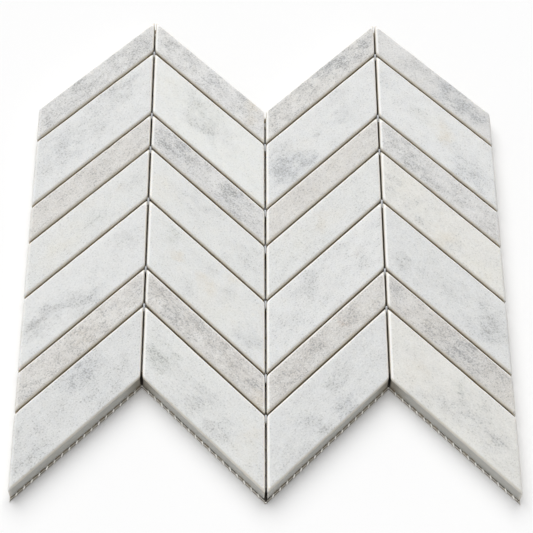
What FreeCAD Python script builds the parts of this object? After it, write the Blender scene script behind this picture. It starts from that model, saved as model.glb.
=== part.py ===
# Chevron mosaic wall tile: mitred marble strips in upright columns, bonded
# side by side to one trimmed sheet of net. Millimetres, +Z up, the face on top.
# The columns run along Y, and the chevrons point towards +Y.
import FreeCAD
import Part
import math
import os

# The chevron grid
COLUMN_COUNT = 4
COLUMN_PITCH = 70.0  # between the centre lines of neighbouring upright joints
CHEVRON_ANGLE = 45.0  # degrees between a strip's long edges and the sheet's width
JOINT_WIDTH = 1.0  # clear gap between any two stones

# The stones
NARROW_WIDTH = 16.75  # strip widths are square to the long edges
MEDIUM_WIDTH = 25.25
WIDE_WIDTH = 32.5
STONE_THICKNESS = 10.0
ARRIS_RADIUS = 1.2  # the eased edge around the face

# The net
NET_THICKNESS = 1.0
NET_OVERHANG = 1.5  # past the stones along the zigzag edges, square to them

STRIP_WIDTHS = {"narrow": NARROW_WIDTH, "medium": MEDIUM_WIDTH, "wide": WIDE_WIDTH}
ROWS_BACK_TO_FRONT = ("narrow", "wide", "narrow", "medium", "wide", "narrow", "wide")

# Lengths along Y that follow from the slope of the strips
SLOPE = math.tan(math.radians(CHEVRON_ANGLE))
ACROSS_TO_Y = 1.0 / math.cos(math.radians(CHEVRON_ANGLE))
COLUMN_RISE = SLOPE * COLUMN_PITCH
JOINT_Y = JOINT_WIDTH * ACROSS_TO_Y
OVERHANG_Y = NET_OVERHANG * ACROSS_TO_Y
ROW_HEIGHTS = [STRIP_WIDTHS[kind] * ACROSS_TO_Y for kind in ROWS_BACK_TO_FRONT]
STACK_HEIGHT = sum(ROW_HEIGHTS) + JOINT_Y * (len(ROW_HEIGHTS) - 1)

# The sheet is centred on the origin, from the back peaks to the front points
BACK_PEAK_Y = (STACK_HEIGHT + COLUMN_RISE) / 2.0
FRONT_PEAK_Y = BACK_PEAK_Y - STACK_HEIGHT


def line_x(line):
    """X of the centre of an upright joint, counted from the left edge."""
    return (line - COLUMN_COUNT / 2.0) * COLUMN_PITCH


def lean(line):
    """How far the chevron lies below its peaks on an upright joint line."""
    return 0.0 if line % 2 else -COLUMN_RISE


def row_back_y(row):
    """Y of the back edge of a row, measured on the peak lines."""
    return BACK_PEAK_Y - sum(ROW_HEIGHTS[:row]) - JOINT_Y * row


def strip_outline(column, row):
    """Corners of one strip: a parallelogram between two upright joints."""
    rise = (lean(column + 1) - lean(column)) / COLUMN_PITCH
    left = line_x(column) + JOINT_WIDTH / 2.0
    right = line_x(column + 1) - JOINT_WIDTH / 2.0
    back_left = row_back_y(row) + lean(column) + rise * JOINT_WIDTH / 2.0
    back_right = row_back_y(row) + lean(column + 1) - rise * JOINT_WIDTH / 2.0
    height = ROW_HEIGHTS[row]
    return [
        (left, back_left - height),
        (right, back_right - height),
        (right, back_right),
        (left, back_left),
    ]


def prism(corners, bottom, thickness):
    """An upright prism on a closed outline."""
    points = [FreeCAD.Vector(x, y, bottom) for x, y in corners]
    outline = Part.makePolygon(points + points[:1])
    return Part.Face(outline).extrude(FreeCAD.Vector(0, 0, thickness))


def make_strip(column, row):
    """One stone: sawn square to the net, with a rounded edge around its face."""
    stone = prism(strip_outline(column, row), NET_THICKNESS, STONE_THICKNESS)
    wall_middle = NET_THICKNESS + STONE_THICKNESS / 2.0
    face_edges = [edge for edge in stone.Edges if edge.BoundBox.ZMin > wall_middle]
    return stone.makeFillet(ARRIS_RADIUS, face_edges)


def make_net():
    """The backing: one thin sheet, trimmed just outside the zigzag ends."""
    lines = range(COLUMN_COUNT + 1)
    half_width = line_x(COLUMN_COUNT) - JOINT_WIDTH / 2.0
    trim = SLOPE * JOINT_WIDTH / 2.0
    back = []
    front = []
    for line in lines:
        x = max(-half_width, min(half_width, line_x(line)))
        offset = lean(line)
        if line in (0, COLUMN_COUNT):
            offset += trim if offset < 0.0 else -trim
        back.append((x, BACK_PEAK_Y + OVERHANG_Y + offset))
        front.append((x, FRONT_PEAK_Y - OVERHANG_Y + offset))
    return prism(front + back[::-1], 0.0, NET_THICKNESS)


def main():
    os.makedirs("parts", exist_ok=True)
    for column in range(COLUMN_COUNT):
        for row, kind in enumerate(ROWS_BACK_TO_FRONT):
            name = f"column{column + 1}_row{row + 1}_{kind}_strip"
            make_strip(column, row).exportStep(f"parts/{name}.step")
    make_net().exportStep("parts/mesh_backing.step")


main()
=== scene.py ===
"""Dresses a chevron mosaic sheet: honed marble strips bonded to a trimmed net.

Every length is in millimetres until a mesh is written, which is in metres.
"""
from __future__ import annotations

import logging
import math
from abc import ABC, abstractmethod
from dataclasses import dataclass
from enum import Enum
from functools import partial
from typing import Union

import bmesh
import bpy
from mathutils import Matrix, Vector, noise


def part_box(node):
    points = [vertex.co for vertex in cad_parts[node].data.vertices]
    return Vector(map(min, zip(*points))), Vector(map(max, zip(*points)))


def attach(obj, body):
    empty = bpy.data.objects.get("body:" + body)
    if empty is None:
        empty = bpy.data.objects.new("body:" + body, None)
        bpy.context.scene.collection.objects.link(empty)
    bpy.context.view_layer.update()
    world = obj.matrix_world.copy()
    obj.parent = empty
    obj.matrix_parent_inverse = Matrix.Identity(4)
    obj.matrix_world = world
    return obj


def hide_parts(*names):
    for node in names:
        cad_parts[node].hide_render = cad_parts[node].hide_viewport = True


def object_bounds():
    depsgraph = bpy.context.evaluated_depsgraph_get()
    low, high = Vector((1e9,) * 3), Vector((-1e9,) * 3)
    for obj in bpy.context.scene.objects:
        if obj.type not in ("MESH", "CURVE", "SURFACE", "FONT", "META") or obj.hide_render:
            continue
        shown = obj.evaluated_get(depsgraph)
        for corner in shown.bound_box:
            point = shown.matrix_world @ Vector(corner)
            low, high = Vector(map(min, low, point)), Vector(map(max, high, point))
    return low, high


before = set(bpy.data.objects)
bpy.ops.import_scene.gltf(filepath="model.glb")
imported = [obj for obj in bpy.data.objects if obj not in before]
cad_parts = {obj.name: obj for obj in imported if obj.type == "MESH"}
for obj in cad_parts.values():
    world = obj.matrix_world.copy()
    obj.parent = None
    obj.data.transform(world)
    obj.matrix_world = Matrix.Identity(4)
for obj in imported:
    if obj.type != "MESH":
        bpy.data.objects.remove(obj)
CAD_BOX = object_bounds()

MM = 0.001
IMAGE_SIZE = 533
COLUMN_PITCH = 70.0
COLUMN_COUNT = 4
JOINT_WIDTH = 1.0
NET_OVERHANG = 1.5
NET_TOP = 1.0
FACE_TOP = CAD_BOX[1][2] / MM
CHEVRON_SLOPE = math.tan(math.radians(45.0))
EDGE_STRETCH = math.hypot(1.0, CHEVRON_SLOPE)  # length along a slanted edge for each unit of width
COLUMN_RISE = COLUMN_PITCH * CHEVRON_SLOPE
BODY = "root"
BACKING_NODE = "mesh_backing"

log = logging.getLogger("mosaic_sheet")


def linear(red: int, green: int, blue: int) -> tuple[float, float, float, float]:
    """Turns a colour read off a screen into the shader's linear colour.

    Args:
        red: The red level, 0 to 255.
        green: The green level, 0 to 255.
        blue: The blue level, 0 to 255.

    Returns:
        Red, green, blue and an alpha of 1.
    """
    levels = [level / 255.0 for level in (red, green, blue)]
    parts = [v / 12.92 if v <= 0.04045 else ((v + 0.055) / 1.055) ** 2.4 for v in levels]
    return (parts[0], parts[1], parts[2], 1.0)


class Tint(Enum):
    """The named colours of the stone, its stains, the net, and the light and shade painted on them."""

    CLEAR_WHITE = (221, 222, 219)
    COOL_WHITE = (217, 218, 217)
    SOFT_WHITE = (215, 216, 214)
    WARM_WHITE = (217, 216, 211)
    GREY_WHITE = (211, 212, 211)
    PALE_GREY = (206, 205, 203)
    WARM_GREY = (206, 203, 198)
    TAUPE = (200, 197, 192)
    GREY_CLOUD = (176, 177, 177)
    BLUE_CLOUD = (173, 176, 180)
    GREEN_CLOUD = (178, 181, 175)
    BROWN_CLOUD = (178, 172, 166)
    FLECK = (146, 146, 145)
    OCHRE = (209, 196, 172)
    CREAM = (222, 218, 206)
    RUST = (180, 158, 140)
    CHALK = (236, 236, 234)
    # frosted grinding, and partly a painted highlight on the edges that face the light
    GROUND_EDGE = (252, 251, 248)
    # painted warm glow of light coming through the stone's edge, and painted shade on the front edge
    EDGE_DUST = (224, 219, 208)
    # dust in the joints, partly painted shade
    JOINT_DUST = (188, 174, 146)
    SAWN = (182, 182, 177)
    DAB = (180, 182, 186)
    ADHESIVE = (226, 220, 203)
    # old resin, also standing in for shade and shadow by the walls, the valleys and the net's edge
    RESIN = (140, 127, 105)
    # painted shade in the front ends of the upright joints
    SLOT = (34, 28, 20)
    GLASS_YARN = (249, 248, 244)
    FLOOR = (253, 253, 253)

    @property
    def colour(self) -> tuple[float, float, float, float]:
        """The tint as a linear colour."""
        return linear(*self.value)


class Signal:
    """A shader socket that takes part in Python arithmetic."""

    def __init__(self, tree: ShaderTree, socket: bpy.types.NodeSocket) -> None:
        """Keeps the socket and the tree that it belongs to."""
        self.tree = tree
        self.socket = socket

    def _math(self, operation: str, first: Term, second: Term) -> Signal:
        """Adds one Math node for two values."""
        return self.tree.node("ShaderNodeMath", {"operation": operation}, {0: first, 1: second})

    def __add__(self, other: Term) -> Signal:
        """Adds a value to this one."""
        return self._math("ADD", self, other)

    def __radd__(self, other: Term) -> Signal:
        """Adds this value to a number."""
        return self._math("ADD", other, self)

    def __sub__(self, other: Term) -> Signal:
        """Takes a value from this one."""
        return self._math("SUBTRACT", self, other)

    def __rsub__(self, other: Term) -> Signal:
        """Takes this value from a number."""
        return self._math("SUBTRACT", other, self)

    def __mul__(self, other: Term) -> Signal:
        """Multiplies this value by another."""
        return self._math("MULTIPLY", self, other)

    def __rmul__(self, other: Term) -> Signal:
        """Multiplies a number by this value."""
        return self._math("MULTIPLY", other, self)

    def __abs__(self) -> Signal:
        """This value without its sign."""
        return self.tree.node("ShaderNodeMath", {"operation": "ABSOLUTE"}, {0: self})

    def eased(self, low: Term, high: Term) -> Signal:
        """Eases this value from 0 at low to 1 at high, with flat ends."""
        inputs = {"Value": self, "From Min": low, "From Max": high}
        return self.tree.node("ShaderNodeMapRange", {"interpolation_type": "SMOOTHSTEP"}, inputs)

    def clipped(self) -> Signal:
        """Keeps this value between 0 and 1."""
        return self.tree.node("ShaderNodeClamp", {}, {"Value": self})


Term = Union[Signal, float]


class ShaderTree:
    """The node tree of a material or a world, with short ways to add nodes."""

    def __init__(self, owner: bpy.types.ID) -> None:
        """Empties the owner's node tree, ready for new nodes.

        Args:
            owner: The material or world that gets the nodes.
        """
        owner.use_nodes = True
        self.nodes = owner.node_tree.nodes
        self.links = owner.node_tree.links
        self.nodes.clear()

    def node(
        self, kind: str, settings: dict[str, object], inputs: dict[int | str, object], output: int | str = 0
    ) -> Signal:
        """Adds a node, sets it up and wires it.

        Args:
            kind: Blender's name for the node type.
            settings: The node's own settings, set before its sockets.
            inputs: Values or signals, by socket name or number.
            output: The socket that is passed on.

        Returns:
            The chosen output as a signal.
        """
        made = self.nodes.new(kind)
        for key, value in settings.items():
            setattr(made, key, value)
        for key, value in inputs.items():
            if isinstance(value, Signal):
                self.links.new(value.socket, made.inputs[key])
            else:
                made.inputs[key].default_value = value
        return Signal(self, made.outputs[output])

    def mix(self, factor: Term, first: object, second: object) -> Signal:
        """Mixes two colours, each a linear colour or a signal."""
        settings = {"data_type": "RGBA", "blend_type": "MIX", "clamp_factor": True}
        return self.node("ShaderNodeMix", settings, {0: factor, 6: first, 7: second}, 2)

    def vector(self, operation: str, first: object, second: object) -> Signal:
        """Adds one Vector Math node for two vectors."""
        return self.node("ShaderNodeVectorMath", {"operation": operation}, {0: first, 1: second})

    def millimetres(self) -> Signal:
        """The place on the piece in millimetres, from its Object coordinates."""
        place = self.node("ShaderNodeTexCoord", {}, {}, "Object")
        return self.vector("MULTIPLY", place, (1000.0, 1000.0, 1000.0))

    def axis(self, place: Signal, name: str) -> Signal:
        """One of a place's three coordinates."""
        return self.node("ShaderNodeSeparateXYZ", {}, {"Vector": place}, name)

    def noise(self, place: Signal, size: float, detail: float, rough: float, output: str = "Fac") -> Signal:
        """Adds a noise whose lumps are about the given size in millimetres."""
        inputs = {"Vector": place, "Scale": 1.0 / size, "Detail": detail, "Roughness": rough}
        return self.node("ShaderNodeTexNoise", {}, inputs, output)

    def surface(self, shader: Signal, kind: str = "ShaderNodeOutputMaterial") -> None:
        """Wires a shader into the tree's output."""
        output = self.nodes.new(kind)
        self.links.new(shader.socket, output.inputs["Surface"])


@dataclass(frozen=True)
class SheetOutline:
    """Where the stones end: on the chevron lines at the peaks, and at the sides."""

    back: float = CAD_BOX[1][1] / MM - NET_OVERHANG * EDGE_STRETCH
    front: float = CAD_BOX[0][1] / MM + NET_OVERHANG * EDGE_STRETCH + COLUMN_RISE
    side: float = CAD_BOX[1][0] / MM
    reach: float = 1.0
    valley_width: float = 12.0
    mouth_depths: tuple[float, float] = (7.0, 4.0)  # where the painted shade starts, and where it is full
    mouth_halves: tuple[float, float] = (1.0, 0.65)

    def _gap(self, tree: ShaderTree, place: Signal) -> Signal:
        """How far a place lies from the nearest line of peaks."""
        return abs(abs(tree.axis(place, "X")) - COLUMN_PITCH)

    def _fold(self, tree: ShaderTree, place: Signal) -> Signal:
        """A place's Y once it has been slid along its strip to a line of peaks."""
        return tree.axis(place, "Y") + self._gap(tree, place) * CHEVRON_SLOPE

    def exposed(self, tree: ShaderTree, place: Signal) -> Signal:
        """How open a place is: 1 at the sheet's outer walls, 0 in the joints.

        Args:
            tree: The material's nodes.
            place: The place on the sheet.

        Returns:
            The mask.
        """
        fold = self._fold(tree, place)
        back = fold.eased(self.back - 2.0 * self.reach, self.back - self.reach)
        front = fold.eased(self.front + 2.0 * self.reach, self.front + self.reach)
        side = abs(tree.axis(place, "X")).eased(self.side - self.reach, self.side - 0.5 * self.reach)
        return (back + front + side).clipped()

    def valley_shade_mask(self, tree: ShaderTree, place: Signal) -> Signal:
        """A mask of the front walls, where shade is painted, that fades out away from the valleys."""
        near = self._gap(tree, place).eased(self.valley_width, self.reach)
        return self._fold(tree, place).eased(self.front + 3.0 * self.reach, self.front + self.reach) * near

    def mouth(self, tree: ShaderTree, place: Signal) -> Signal:
        """A mask of the front ends of the upright joints, between the stones, where shade is painted.

        Args:
            tree: The material's nodes.
            place: The place on the sheet.

        Returns:
            The mask.
        """
        halves = self.mouth_halves
        line = self._gap(tree, place).eased(*halves) + abs(tree.axis(place, "X")).eased(*halves)
        none, full = (self.front + depth for depth in self.mouth_depths)
        return self._fold(tree, place).eased(none, full) * line


@dataclass(frozen=True)
class Cloud:
    """A soft patch of colour in the stone, placed on the sheet."""

    tint: Tint
    x: float
    y: float
    size: float
    strength: float


@dataclass(frozen=True)
class StoneLook:
    """What sets one stone apart: its ground, flecks, mottling and clouds."""

    ground: Tint
    flecks: float
    mottle: float
    clouds: tuple[Cloud, ...]


grey = partial(Cloud, Tint.GREY_CLOUD)
blue = partial(Cloud, Tint.BLUE_CLOUD)
green = partial(Cloud, Tint.GREEN_CLOUD)
brown = partial(Cloud, Tint.BROWN_CLOUD)
ochre = partial(Cloud, Tint.OCHRE)
cream = partial(Cloud, Tint.CREAM)
chalk = partial(Cloud, Tint.CHALK)
rust = partial(Cloud, Tint.RUST)

STONE_LOOKS: dict[str, StoneLook] = {
    "column1_row1": StoneLook(Tint.PALE_GREY, 0.95, 0.7, (
        grey(-77, 141, 18, 0.5), grey(-91, 129, 18, 0.45), grey(-111, 109, 20, 0.5),
        grey(-130, 86, 14, 0.45), chalk(-101, 122, 12, 0.3),
    )),
    "column1_row2": StoneLook(Tint.COOL_WHITE, 0.5, 0.25, (
        blue(-84, 115, 9, 0.6), grey(-90, 105, 16, 0.8), grey(-104, 87, 16, 0.5),
        grey(-101, 77, 12, 0.5), blue(-118, 80, 14, 0.15), blue(-122, 64, 22, 0.65),
        grey(-129, 49, 14, 0.5), grey(-92, 84, 14, 0.2),
    )),
    "column1_row3": StoneLook(Tint.WARM_GREY, 1.0, 0.45, (
        brown(-85, 63, 14, 0.21), brown(-106, 45, 20, 0.32), brown(-125, 24, 16, 0.17),
    )),
    "column1_row4": StoneLook(Tint.SOFT_WHITE, 0.55, 0.2, (
        grey(-82, 38, 12, 0.35), grey(-75, 42, 8, 0.28), green(-101, 13, 9, 0.42),
        ochre(-87, 35, 7, 0.3), ochre(-107, 22, 8, 0.25), cream(-115, 0, 20, 0.6),
        cream(-125, -16, 18, 0.5),
    )),
    "column1_row5": StoneLook(Tint.COOL_WHITE, 0.4, 0.2, (
        grey(-81, -1, 13, 0.5), blue(-97, -42, 16, 0.5), grey(-105, -46, 16, 0.55),
        blue(-115, -45, 14, 0.6), grey(-126, -55, 16, 0.8), grey(-134, -60, 14, 0.7),
        grey(-92, -21, 16, 0.2),
    )),
    "column1_row6": StoneLook(Tint.WARM_GREY, 0.9, 0.7, (
        brown(-105, -68, 60, 0.35), brown(-97, -58, 12, 0.2), brown(-104, -63, 14, 0.2),
        brown(-109, -69, 14, 0.15), grey(-76, -36, 8, 0.52), grey(-132, -100, 14, 0.52),
        chalk(-77, -48, 7, 0.8), chalk(-89, -52, 9, 0.4), ochre(-104, -65, 14, 0.25),
    )),
    "column1_row7": StoneLook(Tint.GREY_WHITE, 0.75, 0.3, (
        blue(-103, -87, 20, 0.75), blue(-109, -93, 16, 0.5), blue(-90, -101, 18, 0.45),
        grey(-83, -84, 9, 0.6), grey(-131, -126, 16, 0.45), grey(-129, -142, 16, 0.55),
        grey(-116, -110, 14, 0.3),
    )),
    "column2_row1": StoneLook(Tint.PALE_GREY, 0.9, 0.8, (
        grey(-59, 139, 14, 0.6), grey(-47, 131, 14, 0.8), blue(-32, 114, 16, 0.6),
        grey(-15, 103, 14, 0.5), ochre(-5, 95, 9, 0.8), ochre(-9, 86, 9, 0.5),
        ochre(-39, 130, 7, 0.3), chalk(-53, 135, 6, 0.6), chalk(-40, 122, 8, 0.5),
        chalk(-24, 109, 7, 0.5),
    )),
    "column2_row2": StoneLook(Tint.CLEAR_WHITE, 0.3, 0.15, (
        green(-35, 92, 18, 0.58), grey(-42, 82, 14, 0.5), green(-37, 77, 14, 0.43),
        grey(-29, 72, 14, 0.5), grey(-45, 101, 12, 0.22), grey(-20, 65, 10, 0.22),
        cream(-60, 110, 18, 0.3),
    )),
    "column2_row3": StoneLook(Tint.PALE_GREY, 0.8, 0.5, (
        grey(-57, 67, 18, 0.7), blue(-49, 63, 14, 0.6), grey(-40, 53, 16, 0.6),
        grey(-20, 30, 20, 0.85), blue(-19, 23, 14, 0.62), grey(-6, 11, 16, 0.39),
        chalk(-32, 40, 9, 0.6), chalk(-60, 77, 8, 0.3),
    )),
    "column2_row4": StoneLook(Tint.SOFT_WHITE, 0.55, 0.2, (
        cream(-63, 36, 18, 0.7), grey(-45, 26, 16, 0.3), grey(-35, 18, 14, 0.4),
        grey(-7, -16, 14, 0.4),
    )),
    "column2_row5": StoneLook(Tint.SOFT_WHITE, 0.4, 0.15, (
        green(-55, 1, 9, 0.9), ochre(-51, -14, 7, 0.5), ochre(-35, -32, 10, 0.6),
        ochre(-20, -28, 9, 0.5), ochre(-2, -53, 8, 0.6), grey(-31, -22, 8, 0.5),
        grey(-22, -39, 9, 0.6), grey(-47, -36, 12, 0.4), blue(-10, -68, 16, 0.6),
        cream(-28, -47, 24, 0.4),
    )),
    "column2_row6": StoneLook(Tint.TAUPE, 0.85, 0.7, (
        brown(-60, -36, 14, 0.8), chalk(-62, -42, 6, 0.8), grey(-52, -50, 12, 0.6),
        brown(-41, -59, 18, 0.7), brown(-25, -75, 18, 0.6), brown(-10, -89, 18, 0.7),
        chalk(-39, -68, 6, 0.7), ochre(-3, -106, 10, 0.7), chalk(-32, -65, 8, 0.3),
    )),
    "column2_row7": StoneLook(Tint.SOFT_WHITE, 0.5, 0.2, (
        green(-60, -79, 16, 0.9), grey(-60, -64, 5, 0.8), grey(-39, -105, 14, 0.5),
        grey(-32, -104, 12, 0.6), grey(-46, -110, 14, 0.5), grey(-26, -124, 16, 0.7),
        ochre(-7, -126, 12, 0.35), grey(-50, -93, 20, 0.25), cream(-12, -138, 18, 0.4),
    )),
    "column3_row1": StoneLook(Tint.WARM_GREY, 1.0, 0.8, (
        blue(62, 148, 10, 0.6), blue(58, 139, 14, 0.7), blue(46, 130, 14, 1.0),
        blue(35, 125, 12, 0.7), chalk(52, 133, 5, 0.8), grey(24, 111, 14, 0.5),
        grey(9, 97, 14, 0.3), grey(6, 88, 10, 0.2), chalk(29, 118, 7, 0.4),
    )),
    "column3_row2": StoneLook(Tint.COOL_WHITE, 0.5, 0.2, (
        blue(50, 89, 12, 0.49), grey(46, 101, 12, 0.33), grey(31, 75, 5, 0.66),
        blue(19, 51, 22, 0.82), blue(7, 54, 14, 0.66), blue(26, 55, 14, 0.57),
        blue(11, 44, 14, 0.66), grey(9, 65, 12, 0.57), cream(20, 65, 14, 0.4),
    )),
    "column3_row3": StoneLook(Tint.WARM_GREY, 0.8, 0.35, (
        brown(62, 74, 12, 0.18), brown(26, 39, 18, 0.27), brown(19, 27, 14, 0.21),
        cream(44, 58, 18, 0.3),
    )),
    "column3_row4": StoneLook(Tint.SOFT_WHITE, 0.6, 0.3, (
        ochre(34, 16, 9, 0.35), ochre(34, 9, 8, 0.35), ochre(41, 18, 7, 0.3), cream(20, 0, 20, 0.3),
    )),
    "column3_row5": StoneLook(Tint.COOL_WHITE, 0.6, 0.4, (
        brown(54, -7, 6, 0.59), grey(57, -16, 9, 0.39), grey(31, -21, 12, 0.26),
        grey(24, -30, 14, 0.33), grey(25, -37, 12, 0.29), grey(32, -40, 12, 0.26),
        grey(12, -56, 16, 0.16),
    )),
    "column3_row6": StoneLook(Tint.TAUPE, 0.95, 0.6, (
        brown(49, -50, 12, 0.75), rust(41, -56, 5, 0.8), brown(30, -69, 14, 0.6),
        brown(24, -78, 14, 0.68), brown(14, -95, 16, 0.9), cream(58, -47, 12, 0.3),
    )),
    "column3_row7": StoneLook(Tint.GREY_WHITE, 0.6, 0.25, (
        grey(43, -88, 8, 0.5), grey(36, -95, 8, 0.6), blue(44, -107, 10, 0.7),
        blue(46, -111, 9, 0.6), blue(24, -121, 12, 0.6), grey(34, -124, 9, 0.8),
        grey(17, -140, 16, 0.35),
    )),
    "column4_row1": StoneLook(Tint.PALE_GREY, 0.65, 0.3, (
        grey(95, 129, 14, 0.3), grey(100, 124, 12, 0.4), blue(117, 106, 22, 1.1),
        blue(128, 92, 16, 1.1), blue(134, 84, 10, 0.5), chalk(84, 142, 14, 0.5),
    )),
    "column4_row2": StoneLook(Tint.COOL_WHITE, 0.55, 0.32, (
        blue(77, 115, 12, 0.36), green(96, 92, 10, 0.36), ochre(109, 79, 9, 0.4),
        ochre(112, 75, 8, 0.4), blue(122, 50, 18, 0.58), blue(132, 39, 16, 0.43),
        blue(116, 64, 14, 0.36), cream(104, 86, 16, 0.4),
    )),
    "column4_row3": StoneLook(Tint.PALE_GREY, 0.8, 0.5, (
        grey(86, 61, 16, 0.54), grey(94, 51, 14, 0.48), grey(79, 69, 14, 0.36),
        grey(104, 40, 14, 0.42), grey(112, 33, 14, 0.36), grey(116, 26, 12, 0.36),
        chalk(95, 44, 6, 0.5), brown(135, 9, 16, 0.3),
    )),
    "column4_row4": StoneLook(Tint.WARM_WHITE, 0.5, 0.2, (
        grey(79, 45, 7, 0.8), grey(74, 37, 10, 0.5), cream(85, 41, 14, 0.6), ochre(107, 4, 12, 0.4),
        ochre(104, -2, 10, 0.3), grey(84, 25, 8, 0.4), grey(99, 24, 10, 0.4), grey(95, 11, 10, 0.4),
        grey(112, -4, 7, 0.6), cream(125, -21, 18, 0.5),
    )),
    "column4_row5": StoneLook(Tint.GREY_WHITE, 0.5, 0.25, (
        grey(79, -16, 9, 0.8), grey(111, -36, 14, 0.4), grey(127, -50, 18, 0.7),
        grey(132, -59, 14, 0.6), blue(125, -63, 14, 0.5), grey(137, -68, 12, 0.6),
        grey(95, -26, 20, 0.2),
    )),
    "column4_row6": StoneLook(Tint.TAUPE, 0.8, 0.5, (
        brown(106, -68, 60, 0.45), grey(75, -33, 10, 0.41), grey(77, -37, 10, 0.41),
        chalk(82, -44, 8, 0.5), brown(99, -59, 14, 0.1), blue(104, -64, 14, 0.15),
        blue(110, -73, 14, 0.55), blue(115, -77, 14, 0.61), brown(132, -91, 14, 0.34),
        grey(118, -84, 14, 0.35), cream(135, -102, 12, 0.3),
    )),
    "column4_row7": StoneLook(Tint.WARM_WHITE, 0.35, 0.35, (
        ochre(86, -85, 12, 0.3), cream(80, -91, 16, 0.4), green(108, -98, 8, 0.9),
        blue(81, -105, 14, 0.4), blue(112, -116, 14, 0.5), grey(125, -128, 14, 0.6),
        grey(131, -133, 12, 0.5), grey(100, -108, 20, 0.5), grey(118, -110, 20, 0.45),
    )),
}


class Finish(ABC):
    """A material whose look follows the place on the sheet."""

    @abstractmethod
    def sockets(self, tree: ShaderTree, place: Signal) -> dict[str, object]:
        """Works out what the surface shader gets.

        Args:
            tree: The material's nodes.
            place: The place on the sheet.

        Returns:
            Values and signals by socket name.
        """

    def material(self, name: str) -> bpy.types.Material:
        """Makes the material.

        Args:
            name: The material's name.

        Returns:
            The finished material.
        """
        made = bpy.data.materials.new(name)
        tree = ShaderTree(made)
        inputs = self.sockets(tree, tree.millimetres())
        tree.surface(tree.node("ShaderNodeBsdfPrincipled", {}, inputs))
        return made


@dataclass(frozen=True)
class StoneMasks:
    """Where the parts of one stone lie, from its worn edge down to its back, with the places where light
    and shade are painted.
    """

    left_highlight: Signal
    # the whitened edge of the face, except at the front: frosted grinding, partly a painted highlight
    edge: Signal
    # painted warm glow and shade in a band below the edge and on the front edge
    dust: Signal
    outer: Signal
    wall: Signal
    exposed: Signal
    corner: Signal
    valley_shade_mask: Signal
    mouth: Signal
    back: Signal


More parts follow.
